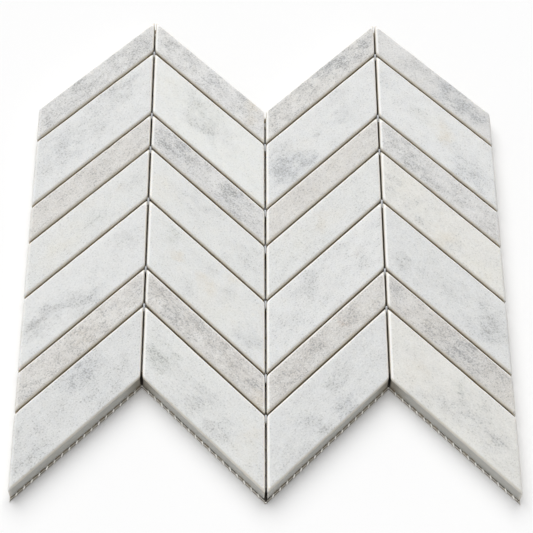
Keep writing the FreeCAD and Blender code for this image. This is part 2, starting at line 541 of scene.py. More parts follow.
@dataclass(frozen=True)
class MarbleFinish(Finish):
    """Honed marble: clouded, flecked faces over plain sawn walls."""

    look: StoneLook
    seed: float
    grain_turn: float
    front_edge: float
    middle: float
    half_width: float
    face_roughness: float = 0.45
    wall_roughness: float = 0.75
    streak: float = 1.7
    grain_streak: float = 1.2
    lump_size: float = 4.5
    broad_size: float = 12.0
    drift: float = 24.0
    speck_size: float = 1.0
    crystal_size: float = 0.8
    grain_size: float = 0.45
    left_highlight_strength: float = 0.5
    edge_whitening_and_highlight: float = 0.9
    edge_glow_and_shade: float = 0.8
    sawn: float = 0.85
    corner_glow: float = 0.6
    valley_shade: float = 0.55
    joint_dust_and_shade: float = 0.7
    mouth_shade: float = 0.94
    back_glue: float = 0.8
    glow: float = 0.3
    glow_depth: float = 2.5

    def sockets(self, tree: ShaderTree, place: Signal) -> dict[str, object]:
        """Draws the marble, its worn edge with painted highlights, glow and shade, and its walls with
        painted shade.

        Args:
            tree: The material's nodes.
            place: The place on the sheet.

        Returns:
            Values and signals by socket name.
        """
        along = self._along(tree, place, self.streak)
        lump = tree.noise(along, self.lump_size, 7.0, 0.68).eased(0.34, 0.68)
        colour, haze = self._clouded(tree, place, along, lump)
        grains = self._along(tree, place, self.grain_streak)
        colour, fleck = self._flecked(tree, grains, colour, haze + lump * 0.4)
        masks = self._masks(tree, place)
        colour = self._edged(tree, colour, masks)
        colour = self._walled(tree, colour, masks, lump)
        grain = tree.noise(place, self.grain_size, 2.0, 0.6)
        saw = tree.noise(tree.vector("MULTIPLY", along, (0.06, 0.06, 2.2)), 1.0, 3.0, 0.6)
        relief = grain * 0.5 + masks.wall * saw * 1.6 - fleck * 0.4
        bump = tree.node("ShaderNodeBump", {}, {"Strength": 0.22, "Distance": 0.00012, "Height": relief})
        rougher = self.wall_roughness - self.face_roughness
        return {
            "Base Color": colour,
            "Roughness": self.face_roughness + lump * 0.08 + masks.wall * rougher,
            "Normal": bump,
            "IOR": 1.5,
            "Subsurface Weight": self.glow,
            "Subsurface Radius": (1.0, 0.88, 0.7),
            "Subsurface Scale": self.glow_depth * MM,
        }

    def _masks(self, tree: ShaderTree, place: Signal) -> StoneMasks:
        """Finds the parts of the stone.

        Args:
            tree: The material's nodes.
            place: The place on the sheet.

        Returns:
            A mask for each part.
        """
        sheet = SheetOutline()
        across = tree.axis(place, "X")
        height = tree.axis(place, "Z")
        depth = FACE_TOP - height
        front = self._front_edge(tree, place)
        edge = depth.eased(0.02, 0.2)
        return StoneMasks(
            # painted highlight: each stone's left edge is whitened as if lit from the left
            left_highlight=(self.middle - across).eased(self.half_width - 1.9, self.half_width - 1.2),
            # the face's edge is whitened, except at the front: frosted grinding, and partly a painted
            # highlight where the edge faces the lamp
            edge=edge * (1.0 - front),
            # painted warm glow and shade: a tan band below the face's edge, and the whole front edge
            dust=(depth.eased(0.2, 0.6) + edge * front).clipped(),
            outer=1.0 - abs(across).eased(sheet.side - 2.0, sheet.side - 0.8) * 0.8,
            wall=depth.eased(0.9, 1.7),
            exposed=sheet.exposed(tree, place),
            corner=abs(across - self.middle).eased(self.half_width - 2.0, self.half_width - 0.3),
            valley_shade_mask=sheet.valley_shade_mask(tree, place),
            mouth=sheet.mouth(tree, place),
            back=height.eased(NET_TOP + 0.8, NET_TOP + 0.1),
        )

    def _edged(self, tree: ShaderTree, colour: Signal, masks: StoneMasks) -> Signal:
        """Whitens the ground edge of the face, partly as a painted highlight, with a painted highlight on
        each left edge, and paints a warm glow and shade below it.

        Args:
            tree: The material's nodes.
            colour: The colour of the face.
            masks: The parts of the stone.

        Returns:
            The new colour.
        """
        white = Tint.GROUND_EDGE.colour
        # painted highlight on each stone's left edge
        colour = tree.mix(masks.left_highlight * masks.outer * self.left_highlight_strength, colour, white)
        # frosted ground edge, partly a painted highlight on the edges facing the lamp
        colour = tree.mix(masks.edge * masks.outer * self.edge_whitening_and_highlight, colour, white)
        # painted warm glow and shade in a band below the edge and on the front edge
        return tree.mix(masks.dust * masks.outer * self.edge_glow_and_shade, colour, Tint.EDGE_DUST.colour)

    def _walled(self, tree: ShaderTree, colour: Signal, masks: StoneMasks, lump: Signal) -> Signal:
        """Colours the sawn walls, the joints and the back of the stone, with dust and painted shade in the
        joints, painted shade by the valleys and in the joints' front ends, and a painted glow on the
        corners.

        Args:
            tree: The material's nodes.
            colour: The colour down to the edge.
            masks: The parts of the stone.
            lump: The lumpiness of the dust, the painted shade and the adhesive.

        Returns:
            The new colour.
        """
        wall = masks.wall
        hidden = wall * (1.0 - masks.exposed) * (1.0 - masks.back)
        # dust and painted shade on the walls inside the joints
        dusty_and_shaded = hidden * (self.joint_dust_and_shade + lump * (1.0 - self.joint_dust_and_shade))
        open_corner = wall * masks.exposed * masks.corner
        colour = tree.mix(wall * self.sawn, colour, Tint.SAWN.colour)
        # painted glow on the open corner walls
        colour = tree.mix(open_corner * self.corner_glow, colour, Tint.EDGE_DUST.colour)
        # painted shade on the front walls near the valleys
        colour = tree.mix(wall * masks.valley_shade_mask * self.valley_shade, colour, Tint.RESIN.colour)
        colour = tree.mix(dusty_and_shaded, colour, Tint.JOINT_DUST.colour)
        # painted glow on the corner walls inside the joints
        colour = tree.mix(hidden * masks.corner * self.joint_dust_and_shade, colour, Tint.EDGE_DUST.colour)
        # painted shade, nearly black, in the joints' front ends
        colour = tree.mix(wall * masks.mouth * self.mouth_shade, colour, Tint.SLOT.colour)
        return tree.mix(masks.back * lump * self.back_glue, colour, Tint.ADHESIVE.colour)

    def _front_edge(self, tree: ShaderTree, place: Signal) -> Signal:
        """Finds the stone's front edge, which gets the painted warm glow and shade rather than the whitened
        edge.

        Args:
            tree: The material's nodes.
            place: The place on the sheet.

        Returns:
            The mask.
        """
        inputs = {0: place, 1: (-math.sin(self.grain_turn), math.cos(self.grain_turn), 0.0)}
        across = tree.node("ShaderNodeVectorMath", {"operation": "DOT_PRODUCT"}, inputs, "Value")
        return (across - self.front_edge).eased(1.7, 0.8)

    def _along(self, tree: ShaderTree, place: Signal, streak: float) -> Signal:
        """Finds this stone's own stretch of pattern, drawn out along the strip.

        Args:
            tree: The material's nodes.
            place: The place on the sheet.
            streak: How far the pattern is drawn out.

        Returns:
            The place in the pattern.
        """
        inputs = {
            "Vector": place,
            "Location": (self.seed * 61.0, self.seed * 37.0, self.seed * 13.0),
            "Rotation": (0.0, 0.0, self.grain_turn),
            "Scale": (streak, 1.0, 1.0),
        }
        return tree.node("ShaderNodeMapping", {"vector_type": "TEXTURE"}, inputs)

    def _clouded(
        self, tree: ShaderTree, place: Signal, along: Signal, lump: Signal
    ) -> tuple[Signal, Signal]:
        """Lays the mottling and the clouds over the ground colour.

        Args:
            tree: The material's nodes.
            place: The place on the sheet.
            along: The place in this stone's own stretch of pattern.
            lump: The lumpiness that breaks the clouds up.

        Returns:
            The colour, and how dark the clouds are.
        """
        drift = tree.noise(along, self.broad_size, 4.0, 0.6, "Color")
        drift = tree.vector("SUBTRACT", drift, (0.5, 0.5, 0.5))
        warped = tree.vector("ADD", place, tree.vector("MULTIPLY", drift, (self.drift, self.drift, 0.0)))
        broad = tree.noise(along, self.broad_size, 6.0, 0.65).eased(0.45, 0.72)
        haze = (broad * 0.5 + lump * 0.25) * self.look.mottle
        colour = tree.mix(haze, self.look.ground.colour, Tint.GREY_CLOUD.colour)
        colour = tree.mix((1.0 - lump) * (self.look.mottle * 0.4), colour, Tint.CHALK.colour)
        for tint in sorted({cloud.tint for cloud in self.look.clouds}, key=lambda tint: tint.name):
            patch: Term = 0.0
            for cloud in (cloud for cloud in self.look.clouds if cloud.tint is tint):
                patch = self._patch(tree, warped, cloud) + patch
            patch = (patch * (0.35 + lump * 0.7)).clipped()
            colour = tree.mix(patch * 0.62, colour, tint.colour)
            if tint not in (Tint.CHALK, Tint.CREAM, Tint.OCHRE):
                haze = haze + patch
        return colour, haze

    def _patch(self, tree: ShaderTree, warped: Signal, cloud: Cloud) -> Signal:
        """Masks one cloud: strongest in its middle, and longer along the strip.

        Args:
            tree: The material's nodes.
            warped: The place on the sheet, stirred so that the clouds have ragged edges.
            cloud: The cloud.

        Returns:
            The mask.
        """
        inputs = {
            "Vector": warped,
            "Location": (cloud.x, cloud.y, FACE_TOP),
            "Rotation": (0.0, 0.0, self.grain_turn),
            "Scale": (cloud.size * 1.05, cloud.size * 0.75, 80.0),
        }
        local = tree.node("ShaderNodeMapping", {"vector_type": "TEXTURE"}, inputs)
        ball = tree.node("ShaderNodeTexGradient", {"gradient_type": "SPHERICAL"}, {"Vector": local}, "Fac")
        return ball.eased(0.0, 0.85) * cloud.strength

    def _flecked(
        self, tree: ShaderTree, grains: Signal, colour: Signal, haze: Signal
    ) -> tuple[Signal, Signal]:
        """Adds dark flecks, thicker in the clouds, and the fine crystal grain.

        Args:
            tree: The material's nodes.
            grains: The place in this stone's own stretch of grain.
            colour: The clouded colour.
            haze: How dark and how lumpy the clouds are.

        Returns:
            The flecked colour, and the flecks' mask.
        """
        flecks = self.look.flecks
        speck = tree.noise(grains, self.speck_size, 2.0, 0.55)
        start = (0.66 - flecks * 0.06) - haze * 0.12
        fleck = speck.eased(start, start + 0.1)
        colour = tree.mix(fleck * ((0.18 + flecks * 0.34) + haze * 0.25), colour, Tint.FLECK.colour)
        crystal = tree.noise(grains, self.crystal_size, 2.0, 0.7)
        colour = tree.mix(crystal.eased(0.5, 0.8) * (0.3 + flecks * 0.4), colour, Tint.CHALK.colour)
        colour = tree.mix(crystal.eased(0.5, 0.2) * (0.2 + flecks * 0.3), colour, Tint.FLECK.colour)
        return colour, fleck


def ease_edges(
    mesh: bmesh.types.BMesh, edges: list[bmesh.types.BMEdge], width: float, segments: int
) -> None:
    """Rounds edges of a mesh.

    Args:
        mesh: The mesh to work on.
        edges: The edges to round.
        width: How far the rounding reaches on each side.
        segments: How many flats make up the rounding.
    """
    bmesh.ops.bevel(
        mesh,
        geom=edges,
        offset=width,
        offset_type="OFFSET",
        affect="EDGES",
        segments=segments,
        profile=0.5,
        material=-1,
        clamp_overlap=True,
    )


def add_box(
    mesh: bmesh.types.BMesh, along: Vector, across: Vector, height: float, base: Vector
) -> None:
    """Stands a box on its base, straight or sheared.

    Args:
        mesh: The mesh that gets the box.
        along: The base's first side.
        across: The base's second side.
        height: The box's height.
        base: The middle of the base.
    """
    middle = (base.x, base.y, base.z + height / 2.0, 1.0)
    sides = ((*along, 0.0), (*across, 0.0), (0.0, 0.0, height, 0.0))
    bmesh.ops.create_cube(mesh, size=1.0, matrix=Matrix((*sides, middle)).transposed())


def cut_mesh(mesh: bmesh.types.BMesh, point: Vector, outward: Vector, trim: bool) -> None:
    """Cuts a mesh with a plane.

    Args:
        mesh: The mesh to cut.
        point: A point on the plane.
        outward: The plane's normal.
        trim: Whether what lies beyond the plane is taken away.
    """
    geometry = mesh.verts[:] + mesh.edges[:] + mesh.faces[:]
    bmesh.ops.bisect_plane(
        mesh, geom=geometry, dist=0.0005, plane_co=point, plane_no=outward, clear_outer=trim
    )


def write_mesh(mesh: bmesh.types.BMesh, name: str) -> bpy.types.Object:
    """Turns a mesh in millimetres into an object in metres.

    Args:
        mesh: The finished mesh, which is freed.
        name: The object's name.

    Returns:
        The new object, at the origin.
    """
    bmesh.ops.scale(mesh, vec=(MM, MM, MM), verts=mesh.verts)
    for face in mesh.faces:
        face.smooth = True
    data = bpy.data.meshes.new(name)
    mesh.to_mesh(data)
    mesh.free()
    piece = bpy.data.objects.new(name, data)
    bpy.context.scene.collection.objects.link(piece)
    return piece


def place_piece(piece: bpy.types.Object, node: str) -> bpy.types.Object:
    """Puts a piece in the frame in place of a CAD node.

    Args:
        piece: The piece.
        node: The CAD node that the piece stands for.

    Returns:
        The same piece.
    """
    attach(piece, BODY)
    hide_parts(node)
    return piece


@dataclass
class MarbleStrip:
    """One stone of the sheet, cut as a parallelogram with an eased edge."""

    node: str
    look: StoneLook
    number: int
    arris_width: float = 1.3
    arris_depth: float = 1.1
    arris_segments: int = 4
    corner_ease: float = 1.2
    corner_segments: int = 4
    slice_width: float = 2.6
    wear_reach: float = 2.4
    wear_mean: float = 0.1
    wear_long: tuple[float, float] = (9.0, 0.12)  # a wave's length and depth
    wear_short: tuple[float, float] = (2.5, 0.1)
    chip_size: float = 3.5
    chip_start: float = 0.5
    chip_growth: float = 1.6
    chip_limit: float = 0.4

    def __post_init__(self) -> None:
        """Reads the stone's place and lean from the frame."""
        low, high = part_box(self.node)
        self.low = Vector(low) / MM
        self.high = Vector(high) / MM
        self.middle = (self.low + self.high) / 2.0
        self.half_width = (self.high.x - self.low.x) / 2.0
        rises = self.node.startswith(("column1", "column3"))
        self.slope = CHEVRON_SLOPE if rises else -CHEVRON_SLOPE
        self.slot = "warm_grey_marble" if "narrow" in self.node else "white_marble"
        self.across = Vector((-self.slope, 1.0, 0.0)).normalized()
        self.half_across = (self.high.y - self.middle.y - CHEVRON_SLOPE * self.half_width) * self.across.y

    def build(self) -> bpy.types.Object:
        """Models and dresses the stone.

        Returns:
            The stone's object, which stands for its CAD node.
        """
        mesh = self._block()
        self._wear(mesh)
        piece = write_mesh(mesh, self.node + "_stone")
        front_edge = self.middle.dot(self.across) - self.half_across
        finish = MarbleFinish(
            look=self.look,
            seed=1.0 + self.number,
            grain_turn=math.atan(self.slope),
            front_edge=front_edge,
            middle=self.middle.x,
            half_width=self.half_width,
        )
        piece.data.materials.append(finish.material(self.node + "_marble"))
        piece.modifiers.new("even_faces", "WEIGHTED_NORMAL")
        return place_piece(piece, self.node)

    def _block(self) -> bmesh.types.BMesh:
        """Cuts the stone to its outline and eases its edges.

        Returns:
            The stone's mesh.
        """
        mesh = bmesh.new()
        size = self.high - self.low
        along = Vector((size.x, self.slope * size.x, 0.0))
        across = Vector((0.0, size.y - CHEVRON_SLOPE * size.x, 0.0))
        add_box(mesh, along, across, size.z, Vector((self.middle.x, self.middle.y, self.low.z)))
        top = [edge for edge in mesh.edges if all(vert.co.z > self.middle.z for vert in edge.verts)]
        flatten = self.arris_depth / self.arris_width
        bmesh.ops.scale(mesh, vec=(1.0, 1.0, 1.0 / flatten), verts=mesh.verts)
        ease_edges(mesh, top, self.arris_width, self.arris_segments)
        bmesh.ops.scale(mesh, vec=(1.0, 1.0, flatten), verts=mesh.verts)
        rims = [edge for edge in mesh.edges if self._is_corner(edge)]
        ease_edges(mesh, rims, self.corner_ease, self.corner_segments)
        bmesh.ops.recalc_face_normals(mesh, faces=mesh.faces)
        return mesh

    def _wear(self, mesh: bmesh.types.BMesh) -> None:
        """Slices the stone both ways and wears the edge of its face unevenly.

        Args:
            mesh: The stone's mesh.
        """
        spans = ((Vector((1.0, 0.0, 0.0)), self.half_width), (self.across, self.half_across))
        for normal, reach in spans:
            count = int(2.0 * reach / self.slice_width)
            for step in range(1, count):
                point = self.middle + normal * (reach * (2.0 * step / count - 1.0))
                cut_mesh(mesh, point, normal, False)
        for vert in mesh.verts:
            on_face = vert.co.z > self.high.z - self.arris_depth * 1.02
            wear = self._wear_at(vert.co) if on_face else 0.0
            for normal, reach in spans:
                side = (vert.co - self.middle).dot(normal)
                near = max(0.0, 1.0 - (reach - abs(side)) / self.wear_reach)
                worn = max(wear * near * near, abs(side) - reach)
                vert.co -= normal * math.copysign(max(0.0, worn), side)
                vert.co.z -= wear * 0.5 * near * near

    def _wear_at(self, point: Vector) -> float:
        """Finds how far the edge is worn back, with a chip here and there.

        Args:
            point: A point near the edge.

        Returns:
            The wear at that point.
        """
        seat = point + Vector((0.0, 0.0, 50.0 * self.number))
        wave = self.wear_mean
        for size, swing in (self.wear_long, self.wear_short):
            wave += swing * noise.noise(seat / size)
        chip = noise.noise(seat / self.chip_size + Vector((31.0, 7.0, 3.0))) - self.chip_start
        return max(0.0, wave) + min(self.chip_limit, max(0.0, chip) * self.chip_growth)

    def _is_corner(self, edge: bmesh.types.BMEdge) -> bool:
        """Whether an edge is part of an upright corner or of its mitre."""
        first, second = (vert.co for vert in edge.verts)
        return abs(first.z - second.z) > 0.05


@dataclass(frozen=True)
class YarnFinish(Finish):
    """Coated glass yarn: white, lightly ribbed and shiny, with dust and painted shade in the joints."""

    stain_and_shade: float = 0.0
    roughness: float = 0.3
    ior: float = 1.9
    shine: float = 0.25
    edge_shine: float = 0.4

    def sockets(self, tree: ShaderTree, place: Signal) -> dict[str, object]:
        """Draws the yarn, with dust and painted shade in the joints, and staining and painted shade past
        the edges.

        Args:
            tree: The material's nodes.
            place: The place on the sheet.

        Returns:
            Values and signals by socket name.
        """
        dust = tree.noise(place, 6.0, 4.0, 0.6).eased(0.35, 0.7)
        colour = tree.mix(dust * 0.25, Tint.GLASS_YARN.colour, Tint.ADHESIVE.colour)
        exposed = SheetOutline().exposed(tree, place)
        hidden = tree.axis(place, "Z").eased(0.5, 0.7) * (1.0 - exposed)
        # dust and painted shade on the yarn inside the joints
        colour = tree.mix(hidden * 0.5, colour, Tint.JOINT_DUST.colour)
        # staining and painted shade on the yarn past the edges, standing in for the dark gaps under the
        # stones
        colour = tree.mix(exposed * self.stain_and_shade, colour, Tint.RESIN.colour)
        fibre = tree.noise(place, 0.18, 2.0, 0.6)
        bump = tree.node("ShaderNodeBump", {}, {"Strength": 0.4, "Distance": 0.0001, "Height": fibre})
        return {
            "Base Color": colour,
            "Roughness": self.roughness + dust * 0.2,
            "Normal": bump,
            "IOR": self.ior,
            "Metallic": self.shine + exposed * (self.edge_shine * (1.0 - self.stain_and_shade)),
        }


@dataclass(frozen=True)
class ResinAndShadeFinish(Finish):
    """Old resin: dull brown, with dust in it; its dark brown also stands in for shadow at the walls' feet
    and under the net's edge.
    """

    roughness: float = 0.6
    mouth_shade: float = 0.94

    def sockets(self, tree: ShaderTree, place: Signal) -> dict[str, object]:
        """Draws the resin, with painted shade, nearly black, in the front ends of the upright joints.

        Args:
            tree: The material's nodes.
            place: The place on the sheet.

        Returns:
            Values and signals by socket name.
        """
        dust = tree.noise(place, 3.0, 5.0, 0.65).eased(0.4, 0.75)
        colour = tree.mix(dust * 0.5, Tint.RESIN.colour, Tint.ADHESIVE.colour)
        mouth = SheetOutline().mouth(tree, place)
        # painted shade in the joints' front ends
        colour = tree.mix(mouth * self.mouth_shade, colour, Tint.SLOT.colour)
        bump = tree.node("ShaderNodeBump", {}, {"Strength": 0.5, "Distance": 0.0002, "Height": dust})
        return {"Base Color": colour, "Roughness": self.roughness + dust * 0.2, "Normal": bump}


def line_x(line: int) -> float:
    """X of an upright joint's middle, counted from the sheet's left side."""
    return (line - COLUMN_COUNT / 2.0) * COLUMN_PITCH


@dataclass(frozen=True)
class ZigzagEdge:
    """One column's stretch of a zigzag end, from its peak to its foot."""

    peak: Vector
    away: Vector
    outward: Vector
    length: float = COLUMN_PITCH * EDGE_STRETCH

    @classmethod
    def of(cls, column: int, end: float, side: float) -> ZigzagEdge:
        """Finds one column's edge.

        Args:
            column: The column's number from the left.
            end: Where the stones end on the peak lines.
            side: 1 for the front edge, -1 for the back edge.

        Returns:
            The edge.
        """
        turn = -1.0 if column % 2 == 0 else 1.0
        peak = line_x(column // 2 * 2 + 1)
        away = Vector((turn, -CHEVRON_SLOPE, 0.0)).normalized()
        outward = Vector((-turn * CHEVRON_SLOPE, -1.0, 0.0)).normalized() * side
        return cls(Vector((peak, end, 0.0)), away, outward)

    def stations(self, yarn: float, pitch: float, share: float) -> list[float]:
        """Distances from the peak that lie a share of a mesh past each knot.

        Args:
            yarn: Where one yarn crosses, measured from the sheet's centre.
            pitch: The net's mesh.
            share: The share of a mesh, 0 for the knots themselves.

        Returns:
            The distances that fall on this edge.
        """
        first = -(yarn + self.peak.dot(self.away)) % pitch + share * pitch
        return [first + step * pitch for step in range(int((self.length - first) / pitch) + 1)]


@dataclass
class BackingNet:
    """The net under the stones, laid with its yarns along the zigzag edges.

    Flat yarns follow the edges of columns 1 and 3, twisted pairs those of 2 and 4.
    """

    pitch: float = COLUMN_PITCH / 9.0 / EDGE_STRETCH
    middle: float = NET_TOP / 2.0
    edge_gap: float = 0.52
    side_inset: float = 0.02
    strand_width: float = 0.55
    strand_height: float = 0.5
    twist_width: float = 0.3
    twist_height: float = 0.23
    twist_steps: int = 4
    flat_width: float = 0.8
    flat_height: float = 0.6
    knot_width: float = 1.3
    knot_height: float = 0.9
    loop_gap: float = 0.6
    loop_length: float = 2.7
    loop_width: float = 0.95
    loop_height: float = 0.8
    loop_middle: float = 0.72
    loop_slant: float = 0.5
    loop_drop: float = 0.3
    loop_swing: float = 0.3
    loop_clearance: tuple[float, float] = (2.0, 2.5)  # from the peak and from the foot
    resin_length: float = 3.1
    resin_reach: float = 0.28
    resin_height: float = 1.6
    resin_tuck: float = 1.0
    resin_bottom: float = 0.1
    resin_ease: float = 0.15
    resin_clearance: float = 2.0
    resin_swing: float = 0.35
    resin_swell: float = 0.25
    resin_skip: float = -0.05
    film_reach: float = 1.1
    film_height: float = 0.12
    film_bottom: float = 0.03
    plug_width: float = 0.98
    plug_length: float = 8.0
    plug_height: float = 1.6
    plug_reach: float = 0.6
    plug_bottom: float = 0.05

    def __post_init__(self) -> None:
        """Reads the sheet's place from the frame."""
        low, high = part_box(BACKING_NODE)
        self.low = Vector(low) / MM
        self.high = Vector(high) / MM

    def build(self) -> list[bpy.types.Object]:
        """Models and dresses the resin, the yarns and their knots.

        Returns:
            The resin, the twisted pairs, the flat yarns, the knots and the loops at the front edges.
        """
        # staining and painted shade on the yarns at the open edges
        yarn = YarnFinish(stain_and_shade=0.42).material("coated_glass_yarn")
        stained = YarnFinish(stain_and_shade=0.55).material("stained_glass_yarn")
        coating = YarnFinish(edge_shine=0.62).material("coated_knots")
        # resin that also stands in for shadow along the edges and in the joints' front ends
        resin = ResinAndShadeFinish().material("edge_resin")
        parts = {
            "net_edge_resin": (self._edge_resin(), resin),
            "net_twisted_pairs": (self._net_of(self._pair()), yarn),
            "net_flat_yarns": (self._net_of(self._flat()), stained),
            "net_knots": (self._net_of(self._knot()), coating),
            "net_edge_loops": (self._edge_loops(), coating),
        }
        pieces = []
        for name, (mesh, finish) in parts.items():
            piece = write_mesh(mesh, name)
            piece.data.materials.append(finish)
            pieces.append(place_piece(piece, BACKING_NODE))
        return pieces

    def _net_of(self, cell: bmesh.types.BMesh) -> bmesh.types.BMesh:
        """Repeats a cell over the sheet and cuts the result to the outline."""
        return self._trimmed(self._arrayed(cell))

    def _run(
        self, mesh: bmesh.types.BMesh, stations: list[Vector], width: float, height: float, turn: float
    ) -> None:
        """Draws a yarn of flattened section through its stations.

        Args:
            mesh: The mesh that gets the yarn.
            stations: The points the yarn goes through.
            width: The section's width.
            height: The section's height.
            turn: The turn about Z that faces the section along the yarn.
        """
        face_on = Matrix.Rotation(turn, 4, "Z") @ Matrix.Rotation(math.pi / 2.0, 4, "X")
        section = Matrix.Translation(stations[0]) @ face_on @ Matrix.Diagonal((width, height, 1.0, 1.0))
        ring = bmesh.ops.create_circle(mesh, cap_ends=False, segments=4, radius=0.5, matrix=section)
        edges = list({edge for vert in ring["verts"] for edge in vert.link_edges})
        for before, after in zip(stations, stations[1:]):
            pulled = bmesh.ops.extrude_edge_only(mesh, edges=edges)["geom"]
            verts = [part for part in pulled if isinstance(part, bmesh.types.BMVert)]
            drawn = [part for part in pulled if isinstance(part, bmesh.types.BMEdge)]
            edges = [edge for edge in drawn if set(edge.verts) <= set(verts)]
            bmesh.ops.translate(mesh, vec=after - before, verts=verts)

    def _pair(self) -> bmesh.types.BMesh:
        """Draws one full twist of a pair of strands, one mesh long.

        Returns:
            The cell.
        """
        mesh = bmesh.new()
        for phase in (0.0, math.pi):
            stations = []
            for step in range(self.twist_steps + 1):
                turn = step / self.twist_steps
                angle = phase + 2.0 * math.pi * turn
                side = self.twist_width * math.sin(angle)
                lift = self.twist_height * math.cos(angle)
                stations.append(Vector((side, self.pitch * turn, self.middle + lift)))
            self._run(mesh, stations, self.strand_width, self.strand_height, 0.0)
        return mesh

    def _flat(self) -> bmesh.types.BMesh:
        """Draws one flat yarn, from one pair to the next.

        Returns:
            The cell.
        """
        mesh = bmesh.new()
        stations = [Vector((step * self.pitch / 2.0, 0.0, self.middle)) for step in range(3)]
        self._run(mesh, stations, self.flat_width, self.flat_height, math.pi / 2.0)
        return mesh

    def _knot(self) -> bmesh.types.BMesh:
        """Makes the blob of coating where a pair holds a flat yarn.

        Returns:
            The cell.
        """
        mesh = bmesh.new()
        size = Matrix.Diagonal((self.knot_width, self.knot_width, self.knot_height, 1.0))
        seat = Matrix.Translation((0.0, 0.0, self.middle)) @ size
        bmesh.ops.create_uvsphere(mesh, u_segments=8, v_segments=4, radius=0.5, matrix=seat)
        return mesh

    def _arrayed(self, mesh: bmesh.types.BMesh) -> bmesh.types.BMesh:
        """Repeats a cell over the whole sheet and turns the net along the edges.

        Args:
            mesh: The cell, which is freed.

        Returns:
            The arrayed mesh.
        """
        cell = write_mesh(mesh, "net_cell")
        reach = (self.high.x + self.high.y) / EDGE_STRETCH
        edge = self._yarn_line()
        before = 2 * math.ceil((edge + reach) / self.pitch / 2.0)
        start = edge - before * self.pitch
        for number, step in enumerate(((self.pitch, 0.0, 0.0), (0.0, self.pitch, 0.0))):
            array = cell.modifiers.new(f"array_{number}", "ARRAY")
            array.count = math.ceil((reach - start) / self.pitch)
            array.use_relative_offset = False
            array.use_constant_offset = True
            array.constant_offset_displace = Vector(step) * MM
        view = bpy.context.evaluated_depsgraph_get()
        data = bpy.data.meshes.new_from_object(cell.evaluated_get(view))
        made = bmesh.new()
        made.from_mesh(data)
        bpy.data.objects.remove(cell)
        bpy.data.meshes.remove(data)
        bmesh.ops.scale(made, vec=(1.0 / MM, 1.0 / MM, 1.0 / MM), verts=made.verts)
        bmesh.ops.translate(made, vec=(start, start, 0.0), verts=made.verts)
        turn = Matrix.Rotation(math.atan(CHEVRON_SLOPE), 3, "Z")
        bmesh.ops.rotate(made, cent=(0.0, 0.0, 0.0), matrix=turn, verts=made.verts)
        bmesh.ops.remove_doubles(made, verts=made.verts, dist=0.01)
        return made

    def _yarn_line(self) -> float:
        """Where the yarn past a front edge runs, measured from the sheet's centre."""
        return (COLUMN_PITCH + SheetOutline().front) / EDGE_STRETCH - self.edge_gap

    def _trimmed(self, mesh: bmesh.types.BMesh) -> bmesh.types.BMesh:
        """Cuts the net to the sheet's zigzag ends and straight sides.

        Args:
            mesh: The whole net, which is freed.

        Returns:
            The trimmed net, with its cut ends closed.
        """
        whole = bpy.data.meshes.new("net_whole")
        mesh.to_mesh(whole)
        mesh.free()
        joined = bmesh.new()
        for column in range(COLUMN_COUNT):
            part = bmesh.new()
            part.from_mesh(whole)
            self._cut_column(part, column)
            strip = bpy.data.meshes.new("net_column")
            part.to_mesh(strip)
            part.free()
            joined.from_mesh(strip)
            bpy.data.meshes.remove(strip)
        bpy.data.meshes.remove(whole)
        bmesh.ops.remove_doubles(joined, verts=joined.verts, dist=0.005)
        open_edges = [edge for edge in joined.edges if edge.is_boundary]
        bmesh.ops.holes_fill(joined, edges=open_edges, sides=0)
        bmesh.ops.recalc_face_normals(joined, faces=joined.faces)
        return joined

    def _cut_column(self, part: bmesh.types.BMesh, column: int) -> None:
        """Keeps the part of the net that lies under one column.

        Args:
            part: The whole net, which is cut down.
            column: The column's number from the left.
        """
        left, right, slope = self._span(column)
        peak = line_x(column // 2 * 2 + 1)
        lean = Vector((-slope, 1.0, 0.0))
        sideways = Vector((1.0, 0.0, 0.0))
        cuts = (
            (Vector((left, 0.0, 0.0)), -sideways),
            (Vector((right, 0.0, 0.0)), sideways),
            (Vector((peak, self.high.y, 0.0)), lean),
            (Vector((peak, self.low.y + COLUMN_RISE, 0.0)), -lean),
        )
        for point, outward in cuts:
            cut_mesh(part, point, outward.normalized(), True)

    def _span(self, column: int) -> tuple[float, float, float]:
        """Finds the stretch of net under one column.

        Args:
            column: The column's number from the left.

        Returns:
            Its left side, its right side and the slope of its strips.
        """
        left = max(self.low.x + self.side_inset, line_x(column))
        right = min(self.high.x - self.side_inset, line_x(column + 1))
        return left, right, CHEVRON_SLOPE if column % 2 == 0 else -CHEVRON_SLOPE

    def _edge_resin(self) -> bmesh.types.BMesh:
        """Lays dark resin along the zigzag edges and in the feet of the upright joints, where it also
        stands in for shadow.

        Returns:
            The beads between the knots, the film under the yarns and the plugs in the joints.
        """
        mesh = bmesh.new()
        sheet = SheetOutline()
        for column in range(COLUMN_COUNT):
            self._edge_beads(mesh, ZigzagEdge.of(column, sheet.front, 1.0))
            self._edge_beads(mesh, ZigzagEdge.of(column, sheet.back, -1.0))
        ease_edges(mesh, mesh.edges[:], self.resin_ease, 2)
        for line in range(1, COLUMN_COUNT):
            self._slot_plug(mesh, line, sheet.front)
        for column in range(COLUMN_COUNT):
            self._edge_film(mesh, column, sheet.front, -1.0)
            self._edge_film(mesh, column, sheet.back, 1.0)
        bmesh.ops.recalc_face_normals(mesh, faces=mesh.faces)
        return mesh

